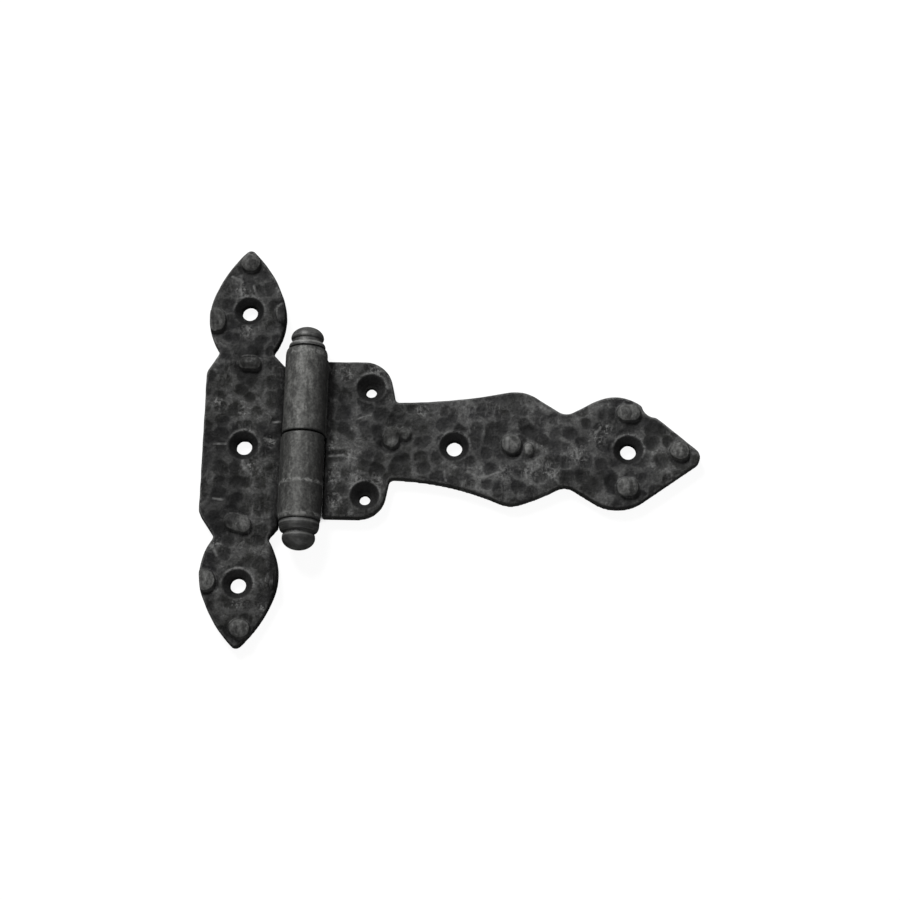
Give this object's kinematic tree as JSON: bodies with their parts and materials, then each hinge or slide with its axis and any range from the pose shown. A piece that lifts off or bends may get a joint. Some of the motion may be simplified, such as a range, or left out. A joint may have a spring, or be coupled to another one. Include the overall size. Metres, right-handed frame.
{
  "type": "tee hinge",
  "caption": "Cast iron tee hinge with a hammered black face, a spear-ended frame leaf, a waved strap leaf and a domed pin.",
  "frame": {"origin": "centre of the frame leaf's middle screw hole, on the flat back face", "axes": "+X along the strap towards its tip, +Y along the hinge pin towards the upper finial, +Z out of the hammered front"},
  "size_m": [0.1576, 0.1313, 0.0134],
  "materials": {
    "black_casting": "hammered antique black, rubbed grey on its high spots",
    "turned_black": "smooth antique black, rubbed grey",
    "pin_steel": "plain drawn steel"
  },
  "bodies": {
    "frame": {"frame_leaf": "black_casting", "hinge_pin": "pin_steel", "upper_finial": "turned_black", "lower_finial": "turned_black"},
    "strap": {"strap_leaf": "black_casting"}
  },
  "joints": [
    {"name": "strap_swing", "type": "hinge", "parent": "frame", "child": "strap", "pos_m": [0.019, 0.003, 0.0067], "axis": [0, -1, 0], "range_deg": [-90, 180]}
  ]
}
